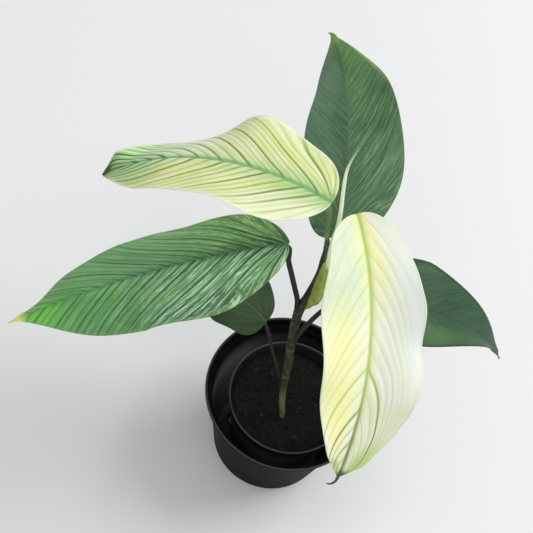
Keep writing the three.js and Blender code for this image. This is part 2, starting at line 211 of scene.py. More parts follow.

# %% [markdown]
# ## The floor
#
# A seamless paper sweep is never quite even, so the pale floor gets a faint cloudiness.


# %% Lay the floor
def add_object(name, mesh, finishes):
    piece = bpy.data.objects.new(name, mesh)
    for finish in finishes:
        mesh.materials.append(finish.material)
    bpy.context.scene.collection.objects.link(piece)
    return piece


def mesh_of(bm, name, smooth=True):
    """The finished mesh of a bmesh, with all its faces smooth or flat."""
    for face in bm.faces:
        face.smooth = smooth
    mesh = bpy.data.meshes.new(name)
    bm.to_mesh(mesh)
    bm.free()
    return mesh


paper = Finish("floor_paper", Roughness=0.9)
clouds = paper.noise(paper.object_place(), 1.3, 3)
paper.paint("Base Color", paper.mix(clouds, (236, 236, 238), (244, 244, 245)))
bm = bmesh.new()
bmesh.ops.create_grid(bm, x_segments=4, y_segments=4, size=FLOOR_SIZE / 2)
floor = add_object("floor", mesh_of(bm, "floor"), [paper])
print("floor", FLOOR_SIZE, "m wide")

# %% [markdown]
# ## The pots
#
# Both pots are thin blow-moulded plastic: a tapered wall, a stepped collar that stiffens the top, a rolled lip and
# drain holes. A turned shape is best made as one profile line with its corners rounded, spun once round. The drain
# holes are cut afterwards. The soil is turned in the same way.

# %% Turn a profile into a pot
POT_SIDES = 144


def spun(profile, corner, sides):
    """Spins a line of (radius, height) in mm, from axis to axis. A corner above 0 rounds its corners by so much."""
    bm = bmesh.new()
    line = [bm.verts.new((radius * MM, 0, height * MM)) for radius, height in profile]
    for start, end in zip(line, line[1:]):
        bm.edges.new((start, end))
    if corner:
        bmesh.ops.bevel(bm, geom=line[1:-1], offset=corner * MM, segments=3, profile=0.5, affect="VERTICES",
                        material=-1, clamp_overlap=True)
    bmesh.ops.spin(bm, geom=bm.verts[:] + bm.edges[:], cent=(0, 0, 0), axis=(0, 0, 1), angle=2 * math.pi,
                   steps=sides, use_merge=True, use_duplicate=False)
    bmesh.ops.remove_doubles(bm, verts=bm.verts[:], dist=1e-6)
    bmesh.ops.recalc_face_normals(bm, faces=bm.faces[:])
    return bm


def turned(name, bm, centre, finish):
    """The spun shape as an object, with its axis on the centre, in mm."""
    bmesh.ops.translate(bm, verts=bm.verts[:], vec=(centre[0] * MM, centre[1] * MM, 0))
    return add_object(name, mesh_of(bm, name), [finish])


def drilled(piece, count, radius, ring, centre, low, high):
    """Cuts round drain holes of a radius, on a ring of a radius, from a low to a high level through a pot's floor."""
    bm = bmesh.new()
    for i in range(count):
        angle = 2 * math.pi * i / count
        at = Vector((centre[0] + ring * math.cos(angle), centre[1] + ring * math.sin(angle), (low + high) / 2)) * MM
        bmesh.ops.create_cone(bm, cap_ends=True, segments=24, radius1=radius * MM, radius2=radius * MM,
                              depth=(high - low) * MM, matrix=Matrix.Translation(at))
    cutter = bpy.data.objects.new("cutter", mesh_of(bm, "cutter"))
    bpy.context.scene.collection.objects.link(cutter)
    cut = piece.modifiers.new("holes", "BOOLEAN")
    cut.object, cut.operation, cut.solver = cutter, "DIFFERENCE", "EXACT"
    bpy.context.view_layer.update()
    drilled_mesh = bpy.data.meshes.new_from_object(piece.evaluated_get(bpy.context.evaluated_depsgraph_get()))
    piece.modifiers.clear()
    piece.data = drilled_mesh
    bpy.data.objects.remove(cutter)


print("pots have", POT_SIDES, "sides")

# %% [markdown]
# Each profile runs from the axis under the pot, up its outside, over the rim and down its inside. All its numbers are
# millimetres.

# %% Measure the pots
OUTER_CENTRE, RIM, HEIGHT, BASE, WALL, THICK_FLOOR = (0, 0), 60, 88, 42.5, 1.2, 1.6
STEP_HEIGHT, STEP, COLLAR, LIP = 80, 55.4, 58.4, 2.6
outer_profile = [
    (0, 0.9), (18, 0.9), (19, 0), (BASE - 0.4, 0), (BASE + 0.2, 1),
    (STEP, STEP_HEIGHT), (COLLAR - 0.4, STEP_HEIGHT + 1.4), (COLLAR, HEIGHT - LIP), (RIM, HEIGHT - LIP),
    (RIM, HEIGHT), (COLLAR - WALL + 0.2, HEIGHT - 0.9), (COLLAR - WALL - 0.3, STEP_HEIGHT + 2.6),
    (STEP - WALL, STEP_HEIGHT + 1), (BASE - WALL, THICK_FLOOR), (0, THICK_FLOOR),
]
GROW_CENTRE, GROW_RIM, GROW_HEIGHT, GROW_TOP, GROW_LIP = (2.2, 1.6), 44.5, 78.5, 42.4, 3.2
GROW_BASE, GROW_WALL, GROW_FOOT = 32, 1.1, 1.9
GROW_FLOOR, GROW_NECK = GROW_FOOT + GROW_WALL, GROW_HEIGHT - GROW_LIP
grow_profile = [
    (0, GROW_FOOT), (GROW_BASE - 0.2, GROW_FOOT), (GROW_BASE, GROW_FOOT + 1), (GROW_TOP, GROW_NECK),
    (GROW_RIM - 0.2, GROW_NECK), (GROW_RIM, GROW_HEIGHT), (GROW_RIM - 1.2, GROW_HEIGHT),
    (GROW_TOP - GROW_WALL, GROW_NECK), (GROW_BASE - GROW_WALL, GROW_FLOOR), (0, GROW_FLOOR),
]
print("profiles of", len(outer_profile), "and", len(grow_profile), "corners")

# %% [markdown]
# Moulded nursery plastic is satin black, never pure black: it has a faint orange-peel skin and an uneven mottle. Low
# down, a lighter grey is painted light that lifts the shade deep in the pots, and a thin lighter band at the rim is a
# painted highlight. The outer pot gets the painted light only inside, within the cone of its wall. The grow pot gets
# it low down all over, so its cone is wider than the pot.


# %% Paint the black plastic
OUTER_FLARE, PAINTED_FILL_ALL_OVER = 0.161, 99


def plastic(name, rim, centre, foot, flare, skin_tones, painted_fill_tone):
    """Satin black, with a painted highlight at the rim's height and painted light low down in a cone with a foot
    radius and a flare.
    """
    finish = Finish(name, Specular_IOR_Level=0.02)
    place = finish.object_place()
    right, back, height = [finish.node("ShaderNodeSeparateXYZ", {}, {0: place}, axis) for axis in "XYZ"]
    right, back = right - centre[0] * MM, back - centre[1] * MM
    radius = finish.node("ShaderNodeMath", {"operation": "SQRT"}, {0: right * right + back * back})
    # Painted light: below the rim and inside the cone, a lighter grey lifts the shade deep in the pot
    inside = finish.ease(radius - flare * height, (foot - 0.4) * MM, (foot - 0.9) * MM)
    dust = finish.noise(place, 28, 4, 0.6)
    skin = finish.noise(place, 900, 2)
    highlight_breakup = finish.noise(place, 60, 3)
    colour = finish.mix(finish.ease(dust, 0.42, 0.75), *skin_tones)
    deep = finish.ease(height, 0.9 * rim * MM, 0.6 * rim * MM)
    colour = finish.mix(inside * deep * (0.6 + 0.4 * dust), colour, painted_fill_tone)
    # Painted highlight: a thin lighter band just under the rim, broken up unevenly
    painted_rim_highlight = finish.ease(height, (rim - 0.6) * MM, (rim - 0.3) * MM)
    colour = finish.mix(painted_rim_highlight * (0.5 + 0.5 * highlight_breakup), colour, (82, 80, 88))
    finish.paint("Base Color", colour)
    finish.paint("Roughness", 0.42 + 0.16 * dust)
    finish.bump(skin + 0.6 * dust, 0.25, 0.0003)
    return finish


# The last tone given to each plastic is the painted light low down
outer_plastic = plastic("outer_pot_plastic", HEIGHT, OUTER_CENTRE, BASE, OUTER_FLARE, ((13, 13, 14), (23, 23, 24)),
                        (140, 140, 142))
grow_plastic = plastic("grow_pot_plastic", GROW_HEIGHT, GROW_CENTRE, PAINTED_FILL_ALL_OVER, 0, ((28, 28, 29), (40, 40, 42)),
                       (160, 160, 162))
# The lighter bands at both rims are painted highlights
print("two black plastics, rubbed at their rims")

# %% Turn and drill both pots
outer_pot = turned("outer_nursery_pot", spun(outer_profile, 0.5, POT_SIDES), OUTER_CENTRE, outer_plastic)
drilled(outer_pot, 8, 4, 30, OUTER_CENTRE, -1, 3)
grow_pot = turned("inner_grow_pot", spun(grow_profile, 0.45, POT_SIDES), GROW_CENTRE, grow_plastic)
drilled(grow_pot, 6, 3.5, 21, GROW_CENTRE, GROW_FOOT - 1, GROW_FLOOR + 1)
for pot, node in ((outer_pot, "outer_pot"), (grow_pot, "grow_pot")):
    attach(pot, "root")
    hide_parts(node)
    print(pot.name, len(pot.data.polygons), "faces")

# %% [markdown]
# ## The soil
#
# Potting mix is a dark, damp heap of fine peat with lumps, chips of bark and a few pale grains. A turned block
# fills the pot, its top is heaped by a few waves, and small shapes that are each only a few faces lie on it.

# %% Heap the soil
SOIL_TOP, SOIL_LUMP, SOIL_GAP = 69, 0.9, 0.3
SOIL_RINGS, SOIL_SIDES = 28, 96
soil_radius = GROW_BASE - GROW_WALL + (GROW_TOP - GROW_BASE) * (SOIL_TOP - GROW_FLOOR) / (GROW_NECK - GROW_FLOOR)


def soil_height(x, y):
    """How high the soil lies, in mm, at a place given in mm from the grow pot's axis."""
    heap = math.sin(x / 5.3 + 0.6) * math.cos(y / 6.1) + 0.6 * math.sin((x - 2 * y) / 7.7)
    crumb = 0.35 * math.sin(x * 1.9 + 2 * math.sin(y)) * math.cos(y * 2.3 + math.sin(1.7 * x))
    inside = min(1, max(0, 1 - math.hypot(x, y) / soil_radius) * 4)
    return SOIL_TOP + (SOIL_LUMP * heap + crumb) * inside


rings = [(soil_radius * ring / SOIL_RINGS, SOIL_TOP) for ring in range(SOIL_RINGS, -1, -1)]
soil_profile = [(0, GROW_FLOOR + SOIL_GAP), (GROW_BASE - GROW_WALL - 0.2, GROW_FLOOR + SOIL_GAP), *rings]
bm = spun(soil_profile, 0, SOIL_SIDES)
for vert in bm.verts:
    if vert.co.z > (SOIL_TOP - 1) * MM:
        vert.co.z = soil_height(vert.co.x / MM, vert.co.y / MM) * MM

peat = Finish("damp_peat", Specular_IOR_Level=0.25)
place = peat.object_place()
grains, patches = peat.noise(place, 420, 5, 0.7), peat.noise(place, 55, 3)
peat.paint("Base Color", peat.mix(peat.ease(grains + 0.5 * patches, 0.6, 1.0), (11, 11, 12), (32, 30, 29)))
peat.paint("Roughness", 0.75 + 0.2 * grains)
peat.bump(grains + patches, 0.9, 0.0012)
soil = turned("potting_mix", bm, GROW_CENTRE, peat)
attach(soil, "root")
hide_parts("soil")
print("soil", len(soil.data.polygons), "faces")

# %% [markdown]
# ## Crumbs, bark and pale grains
#
# Every crumb starts as the same round of twenty faces, or as a small block, and is squeezed, turned and half sunk
# in the soil. One seeded draw places them all, so the heap is the same each time.

# %% Scatter the crumbs
draw = random.Random(11)
STEM_FOOT, STEM_CLEAR = (3, -10), 4.5


def scatter(name, count, low, high, squash, blocky, finish):
    """Many small lumps on the soil, low to high mm across, as one piece. Squash holds the ranges of two widths."""
    bm = bmesh.new()
    for _ in range(count):
        radius = (soil_radius - 2) * math.sqrt(draw.random())
        angle = draw.uniform(0, 2 * math.pi)
        x, y = radius * math.cos(angle), radius * math.sin(angle)
        size = draw.uniform(low, high) / 2
        turn = Matrix.Rotation(draw.uniform(0, 2 * math.pi), 4, "Z") @ Matrix.Rotation(draw.uniform(-0.5, 0.5), 4, "X")
        shape = Matrix.Diagonal((size, size * draw.uniform(*squash[0]), size * draw.uniform(*squash[1]), 1))
        clear = math.hypot(x + GROW_CENTRE[0] - STEM_FOOT[0], y + GROW_CENTRE[1] - STEM_FOOT[1]) > STEM_CLEAR
        at = Vector((x + GROW_CENTRE[0], y + GROW_CENTRE[1], soil_height(x, y) + 0.15 * size))
        whole = Matrix.Scale(MM, 4) @ Matrix.Translation(at) @ turn @ shape
        if clear and blocky:
            bmesh.ops.create_cube(bm, size=1.6, matrix=whole)
        elif clear:
            bmesh.ops.create_icosphere(bm, subdivisions=1, radius=1, matrix=whole)
    for vert in bm.verts:
        vert.co += Vector((draw.uniform(-1, 1), draw.uniform(-1, 1), draw.uniform(-1, 1))) * 0.12 * low * MM
    piece = add_object(name, mesh_of(bm, name, smooth=not blocky), [finish])
    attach(piece, "root")
    print(name, len(piece.data.polygons), "faces")


def rough_finish(name, dark, light, scale):
    """A dry, mottled finish between two tones."""
    finish = Finish(name, Specular_IOR_Level=0.2)
    mottle = finish.noise(finish.object_place(), scale, 4, 0.65)
    finish.paint("Base Color", finish.mix(finish.ease(mottle, 0.35, 0.65), dark, light))
    finish.paint("Roughness", 0.7 + 0.25 * mottle)
    finish.bump(mottle, 0.6, 0.0004)
    return finish


peat_crumb = rough_finish("peat_crumb", (11, 10, 9), (32, 27, 23), 500)
bark = rough_finish("bark", (18, 14, 12), (46, 34, 28), 350)
pale_grain = rough_finish("pale_grain", (88, 87, 84), (150, 148, 142), 600)
scatter("peat_crumbs", 520, 0.8, 2.4, ((0.6, 1), (0.5, 0.9)), False, peat_crumb)
scatter("bark_chips", 30, 2.5, 6.5, ((0.35, 0.7), (0.15, 0.35)), True, bark)
scatter("pale_grains", 8, 0.7, 1.5, ((0.6, 1), (0.6, 0.9)), False, pale_grain)

# %% [markdown]
# ## The leaves' shape
#
# A leaf blade is a sheet that hangs on its midrib. The midrib sets off on a heading, arches down and swings aside.
# The two halves fold up or down from it, their margins wave, and the whole blade may roll and twist. These are the
# same measures, in millimetres and degrees, that made the plain solids, so the fine leaves lie where those are.
# Trims and droops are local changes to one side's width and height. The drip is the fine tip past the blade: its
# length, how far it turns aside and down, and half its first width.

# %% List the leaves
LEAVES = {
    "leaf_1": dict(
        at=(-37, 13, 260), heading=211, rise=-8.9, arch=6.3, swing=15.4, length=178.2, left=37.5, right=46.9,
        widest=0.57, roll=-4.8, twist=31.8, fold=-23.9, base_round=0.447, tip_draw=1.28, crown=2.3, waves=1.759,
        wave_left=6.4, wave_right=5.5, phase_left=0.331, phase_right=0.052, petiole_radius=1.8,
        trims=[("right", 0.85, 0.628, 0.1), ("right", 0.45, 0.13, 0.1), ("left", 0.93, 0.027, 0.05),
               ("right", 0.95, -0.101, 0.05)],
        droops=[("right", 0.1, 2.82, 0.1)], drip=(3, 0, 0, 1.1),
        petiole=[(-14.4, 13, 166), (-16.6, 14.4, 180), (-18.8, 14.8, 193), (-23.2, 14, 208), (-28.6, 12.8, 226),
                 (-33, 10.8, 243), (-36.2, 11.6, 256)]),
    "leaf_2": dict(
        at=(-21, 22, 308), heading=171.8, rise=2.6, arch=60.6, swing=20, length=171, left=38.1, right=55.7,
        widest=0.364, roll=10.1, twist=19.5, fold=-3.8, base_round=0.518, tip_draw=3.07, crown=2.1, waves=1.852,
        wave_left=5.3, wave_right=7.6, phase_left=0.534, phase_right=0.44, petiole_radius=1.8,
        trims=[("right", 0.93, -0.415, 0.05), ("left", 0.93, -0.025, 0.05)],
        droops=[("right", 0.56, -4.61, 0.12), ("right", 0.93, 8.57, 0.06), ("left", 0.62, 7.15, 0.12)],
        drip=(2, 0, 0, 1.1),
        petiole=[(-13, 27, 230), (-14.5, 28.1, 246), (-18.5, 26.1, 275), (-21.5, 23.2, 297)]),
    "leaf_3": dict(
        at=(-5, 32, 292), heading=-50.8, rise=-10.2, arch=60.8, swing=-32.5, length=179.9, left=33.1, right=36.8,
        widest=0.393, roll=9.8, twist=-35.1, fold=20.5, base_round=0.479, tip_draw=2.45, crown=0.1, waves=2.965,
        wave_left=5.8, wave_right=3.7, phase_left=0.382, phase_right=0.793, petiole_radius=1.7,
        trims=[("left", 0.27, -0.034, 0.05), ("left", 0.53, 0.087, 0.06), ("right", 0.16, -0.085, 0.11),
               ("left", 0.8, 0.196, 0.08), ("left", 0.93, 0.129, 0.05), ("right", 0.93, -0.138, 0.05)],
        drip=(11, -110, -60, 1.1),
        petiole=[(-13, 30, 230), (-12, 31.8, 245), (-9.8, 32.2, 262), (-7.4, 32.4, 277)]),
    "leaf_4": dict(
        at=(17, 30, 207), heading=11.4, rise=4.1, arch=67.7, swing=17.9, length=140.1, left=33.8, right=26.7,
        widest=0.319, roll=4.3, twist=-2, fold=15.6, base_round=0.452, tip_draw=1.29, crown=0.8, waves=1.432,
        wave_left=1.5, wave_right=9.1, phase_left=0.177, phase_right=0.355, petiole_radius=1.7,
        trims=[("left", 0.93, -0.036, 0.06), ("right", 0.9, -0.6, 0.1)],
        droops=[("right", 0.85, 1.5, 0.09)], drip=(10.7, 20, -1.4, 3.4),
        petiole=[(-10.4, 7.8, 139), (-9.2, 10.4, 156), (-5.4, 13.4, 174), (-1, 17.4, 187), (6.2, 24, 199)]),
    "leaf_5": dict(
        at=(-10, 42, 244), heading=103.1, rise=8.2, arch=31.9, swing=15.2, length=183.5, left=41.8, right=35.9,
        widest=0.459, roll=-32, twist=-3.3, fold=-21, base_round=0.335, tip_draw=2.04, crown=2.3, waves=1.548,
        wave_left=-3.1, wave_right=6.4, phase_left=0.814, phase_right=0.358, petiole_radius=1.8,
        trims=[("left", 0.9, 0.225, 0.08)], drip=(6, 85, -10, 2.4),
        petiole=[(-12.2, 20, 199), (-12.4, 29, 214), (-12, 36, 229)]),
    "leaf_6": dict(
        at=(-33, 13, 150), heading=167, rise=25, arch=39, swing=-1, length=71, left=27, right=23, widest=0.37, roll=1,
        twist=0, fold=7, base_round=0.34, tip_draw=1.9, crown=1, waves=2.4, wave_left=3.4, wave_right=2.7,
        phase_left=0.71, phase_right=0.59, petiole_radius=1.3, drip=(3, 0, 10, 1),
        petiole=[(-2.6, -4.6, 91), (-6.4, -1.6, 101), (-13.6, 2, 113), (-22, 6.4, 127), (-28.6, 10.4, 140)]),
}
print(len(LEAVES), "leaves")

# %% [markdown]
# The midrib is followed in small steps, each with its own left side and its own way of facing. Any point of the
# blade is then found from two shares: how far along the midrib, and how far across from the right margin to the
# left one.

# %% Follow the midrib and find points on the blade
RIB_STEPS = 120
END_WIDTH, TIP_WIDTH = 0.8, 0.12


def ease(value, low, high):
    share = np.clip((value - low) / (high - low), 0, 1)
    return share * share * (3 - 2 * share)


def past_tip(leaf, s):
    """How far s is along the fine tip, from 0 where the blade ends to 1 at its point."""
    return np.clip((s - 1) * leaf["length"] / leaf["drip"][0], 0, 1)


def midrib(leaf):
    """Points along the midrib with the blade's left side and facing there."""
    drip, aside, down, _ = leaf["drip"]
    s = np.linspace(0, 1 + drip / leaf["length"], RIB_STEPS + 1)
    past = past_tip(leaf, s)
    heading = np.radians(leaf["heading"] + leaf["swing"] * s + aside * past)
    pitch = np.radians(leaf["rise"] - leaf["arch"] * s - down * past)
    forward = np.stack([np.cos(pitch) * np.cos(heading), np.cos(pitch) * np.sin(heading), np.sin(pitch)], 1)
    level = np.stack([-np.sin(heading), np.cos(heading), 0 * s], 1)
    turn = np.radians(leaf["roll"] + leaf["twist"] * s)[:, None]
    side = level * np.cos(turn) + np.cross(forward, level) * np.sin(turn)
    steps = np.vstack([np.zeros(3), forward[:-1] * leaf["length"] * s[1]])
    return {"s": s, "point": np.array(leaf["at"]) + np.cumsum(steps, 0), "side": side,
            "face": np.cross(forward, side)}


def along_rib(rib, key, s):
    return np.stack([np.interp(s, rib["s"], rib[key][:, axis]) for axis in range(3)], -1)


def swellings(leaf, kind, s, across):
    """The local changes to a blade, each a side, a place along, an amount and how far it reaches."""
    return [np.where((across > 0) == (side == "left"), amount * np.exp(-(((s - at) / reach) ** 2)), 0)
            for side, at, amount, reach in leaf.get(kind, [("left", 0, 0, 1)])]


def half_width(leaf, s, across):
    """How wide the blade is from its midrib at s, in mm, on the side that across is on."""
    past, s = past_tip(leaf, s), np.clip(s, 0, 1)
    near = np.clip(1 - (1 - s / leaf["widest"]) ** 2, 0, 1) ** leaf["base_round"]
    far = 1 - np.clip((s - leaf["widest"]) / (1 - leaf["widest"]), 0, 1) ** leaf["tip_draw"]
    full = np.where(s < leaf["widest"], near, far) * np.prod([1 + t for t in swellings(leaf, "trims", s, across)], 0)
    neck = leaf["drip"][3]
    least = END_WIDTH + (neck - END_WIDTH) * s + (TIP_WIDTH - neck) * past
    return np.cbrt((full * np.where(across > 0, leaf["left"], leaf["right"])) ** 3 + least ** 3), full


def blade_points(leaf, rib, s, across):
    """Places in mm on the blade's middle sheet."""
    half, full = half_width(leaf, s, across)
    reach = np.abs(across)
    left = across > 0
    swell = np.sin(np.pi * np.clip(s, 0, 1)) ** (0.6 + 0.9 * ease(s, 0.85, 1))
    phase = np.where(left, leaf["phase_left"], leaf["phase_right"])
    height = np.where(left, leaf["wave_left"], leaf["wave_right"])
    droop = np.sum(swellings(leaf, "droops", s, across), 0)
    wave = (height * swell * np.sin(2 * np.pi * (leaf["waves"] * s + phase)) + droop) * reach ** 2
    fold = math.radians(leaf["fold"])
    lift = half * reach * math.sin(fold) - leaf["crown"] * reach ** 2 * full + wave
    aside = np.sign(across) * half * reach * math.cos(fold)
    return (along_rib(rib, "point", s) + along_rib(rib, "side", s) * aside[:, None]
            + along_rib(rib, "face", s) * lift[:, None])


print("a blade is found from two shares, along and across")

# %% [markdown]
# ## Veins
#
# Side veins leave the midrib at a slant and bend towards the tip, and the first few fan out from where the petiole
# joins. Each point of the blade gets a vein number: whole numbers lie on the veins and halves lie between them. The
# sheet sinks along the veins and swells between them, which gives the leaf its quilted look, and the finish later
# reads the same numbers for its streaks.

# %% Number the veins
USUAL_SPACING, FAN_REACH = 8.6, 27
# For each leaf, on the left and the right side: how much the veins lean towards the tip, how far they sweep on along
# the margin in mm and how much further near the tip, and how much they fade there. Then either one spacing or every
# vein, as a place on the midrib in mm and a strength.
VEINS = {
    "leaf_1": dict(lean=(1.68, 1.41), sweep=(0, -8), late=(0, 0), fade=(0.3, 0.3), spacing=7.4),
    "leaf_2": dict(
        lean=(1.06, 1.23), sweep=(5, 3), late=(22, 34), fade=(0.45, 0.35),
        left=[(-27, 0.3), (-19, 0.5), (-11, 0.35), (-2, 0.75), (4, 0.3), (9.3, 0.9), (14, 0.3), (19.5, 1), (24, 0.35),
              (29.5, 0.7), (36, 0.35), (42.4, 1), (50, 0.35), (57.6, 0.7), (64, 0.4), (70.4, 1), (80, 0.4), (91, 1),
              (101, 0.5), (111, 1), (122, 0.9), (133, 1.1), (145, 0.9), (158, 1.1), (171, 0.9)],
        right=[(-27, 0.3), (-19, 0.6), (-14, 0.35), (-9, 1), (-2, 0.4), (4, 0.3), (10.1, 1), (15, 0.3), (20.6, 0.6),
               (27, 0.35), (33.6, 1), (38, 0.3), (43.5, 0.5), (49, 0.3), (54.9, 1), (65, 0.45), (75.5, 0.9), (83, 0.4),
               (91, 0.9), (103, 0.6), (116, 1.1), (127, 0.9), (138, 1.1), (150, 0.9), (162, 1), (172, 0.8)]),
    "leaf_3": dict(
        lean=(1.58, 1.04), sweep=(60, 15), late=(42, 0), fade=(0.95, 0.45),
        left=[(-27, 0.2), (-8, 0.3), (8, 0.25), (23.5, 0.4), (36, 0.3), (48.6, 0.5), (60, 0.25), (71.7, 0.5),
              (84, 0.35), (96.2, 1.4), (110, 0.4), (126, 0.5), (142, 0.4), (158, 0.5), (174, 0.4)],
        right=[(-27, 0.2), (-12, 0.35), (4, 0.3), (23.6, 0.6), (33, 0.3), (42.5, 0.65), (51, 0.3),
               (60.2, 0.7), (70, 0.35), (80, 0.5), (95.2, 1), (108, 0.4), (123.3, 1.3), (134, 0.6), (146, 0.95),
               (160, 0.6), (174, 0.6)]),
    "leaf_4": dict(lean=(1.6, 1.6), sweep=(8, 8), late=(0, 0), fade=(0.5, 0.5), spacing=9.4),
    "leaf_5": dict(lean=(1.8, 1.8), sweep=(8, 8), late=(0, 0), fade=(0.5, 0.5), spacing=9.4),
    "leaf_6": dict(lean=(1.4, 1.4), sweep=(6, 6), late=(0, 0), fade=(0.5, 0.5), spacing=6.5),
}
LEAF_SEEDS = {name: 1.7 * (i + 1) for i, name in enumerate(LEAVES)}


def vein_list(name, leaf, side):
    """Where each vein starts on the midrib, in mm, and how strong it is."""
    veins, seed = VEINS[name], LEAF_SEEDS[name] + (side == "right")
    if side in veins:
        return np.array(veins[side], float).T
    count = np.arange(-FAN_REACH // veins["spacing"], leaf["length"] // veins["spacing"] + 2)
    starts = veins["spacing"] * (count + 0.22 * np.sin(2.6 * count + seed) + (0.4 if side == "right" else 0))
    return starts, 0.7 + 0.3 * np.sin(1.9 * count + 3 * seed)


def vein_numbers(name, leaf, s, across):
    """At each place: the vein number, mm from the midrib, the nearest vein's strength and the veins' spacing."""
    half, _ = half_width(leaf, s, across)
    out, x = np.abs(across) * half, s * leaf["length"]
    number, strength, gap = [np.zeros_like(s) for _ in range(3)]
    for side, here in (("left", across > 0), ("right", across <= 0)):
        slant, sweep, late, fade = [VEINS[name][key][side == "right"] for key in ("lean", "sweep", "late", "fade")]
        lean = out * slant + sweep * np.abs(across) ** 3 + late * ease(s, 0.55, 0.85) * np.abs(across)
        start = np.where(x > lean, x - lean, -FAN_REACH * (1 - x / np.maximum(lean, 1e-6)))
        start = start + 0.9 * np.sin(out / 7 + 2.1 * LEAF_SEEDS[name] + 0.09 * start) * ease(out, 2, 12)
        starts, strengths = vein_list(name, leaf, side)
        strong = np.interp(start, starts, strengths)
        strong = strong * (1 - fade * ease(np.abs(across), 0.5, 1) * (1 - 0.7 * ease(s, 0.6, 0.8)))
        number = np.where(here, np.interp(start, starts, np.arange(len(starts))), number)
        strength = np.where(here, strong, strength)
        gap = np.where(here, np.interp(start, starts, np.gradient(starts)), gap)
    return number, out, strength, gap


for name, leaf in LEAVES.items():
    print(name, len(vein_list(name, leaf, "left")[0]), "veins on the left")

# %% [markdown]
# The quilting is worked out from the same numbers. Strong veins lie deeper than weak ones, and the swelling dies
# away towards the margin, where the blade is thin and flat.

# %% Shape the quilting
RIB_SINK = 1.4
QUILT = {"leaf_1": 0.5, "leaf_2": 0.55, "leaf_3": 0.45, "leaf_4": 0.12, "leaf_5": 0.16, "leaf_6": 0.18}


def quilting(name, number, out, across, strength, gap):
    """How far the sheet rises, in mm: up between veins, down along them and along the midrib."""
    nearest = np.abs((number + 0.5) % 1 - 0.5) * gap
    groove = strength * np.exp(-((nearest / 1.2) ** 2))
    swelling = np.sin(np.pi * (number % 1)) ** 2 * np.clip(gap / USUAL_SPACING, 0.4, 1.3)
    inner = ease(out, 0.8, 5)
    outer = 1 - 0.8 * ease(np.abs(across), 0.78, 1)
    rib = 0.45 * np.exp(-(((out - 3.4) / 1.8) ** 2)) - RIB_SINK * np.exp(-((out / 1.3) ** 2))
    return QUILT[name] * (inner * outer * (swelling * np.clip(1.2 * strength, 0, 1) - groove) + rib)


print("quilting", QUILT)

# %% [markdown]
# ## Making a blade
#
# A flat grid has the right make-up for a leaf: rows across and columns along. Its points are moved on to the blade,
# pushed out or in by the quilting, and the sheet is then given its thickness. The underside gets the second
# finish.

# %% Build one blade
ROWS, COLUMNS = 190, 84
THICKNESS = 0.5
PALE = ("leaf_2", "leaf_3")


def blade(name, leaf, finishes):
    bm = bmesh.new()
    where, veins, looks = [bm.verts.layers.float_vector.new(f"{kind}_place") for kind in ("leaf", "vein", "look")]
    bm.loops.layers.uv.verify()
    bmesh.ops.create_grid(bm, x_segments=ROWS, y_segments=COLUMNS, size=1, calc_uvs=True)
    flat = np.array([vert.co for vert in bm.verts])
    even, across = (flat[:, 0] + 1) / 2, flat[:, 1]
    # Rows crowd towards both ends, where the outline turns fastest
    s = np.clip(even - 0.1 * np.sin(2 * np.pi * even), 0, 1) * (1 + leaf["drip"][0] / leaf["length"])
    places = blade_points(leaf, midrib(leaf), s, across)
    number, out, strength, gap = vein_numbers(name, leaf, s, across)
    for vert, place in zip(bm.verts, places):
        vert.co = place * MM
    bm.normal_update()
    rise = quilting(name, number, out, across, strength, gap) + THICKNESS / 2
    spread = zip(bm.verts, rise, s, across, number, out, strength, gap)
    for vert, up, along, over, vein, distance, strong, wide in spread:
        vert.co += vert.normal * up * MM
        vert[where] = (along, over, LEAF_SEEDS[name])
        vert[veins] = (vein, distance, 1 if over > 0 else -1)
        vert[looks] = (strong, wide / USUAL_SPACING, 0)
    top = len(bm.faces)
    under = bmesh.ops.solidify(bm, geom=bm.faces[:], thickness=THICKNESS * MM)["geom"]
    for face in under:
        if isinstance(face, bmesh.types.BMFace):
            face.material_index = 1
    piece = add_object(f"{name}_blade", mesh_of(bm, f"{name}_blade"), finishes)
    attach(piece, "root")
    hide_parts(name)
    "pale_leaf" if name in PALE else "green_leaf"
    print(piece.name, top, "faces on top")


print("blades have", ROWS, "rows and", COLUMNS, "columns")

# %% [markdown]
# ## Leaf finishes
#
# One recipe paints every leaf, and each leaf gives its own tones. Over a mottled ground, strips between veins take
# turns at being paler. Silvery streaks run with the veins, then come broad soft patches of other tones, the colour
# that spreads from the midrib, and the lines of the veins with a soft halo. The midrib, the tip and the margin are
# last. The underside is the same pattern seen through the leaf, duller.


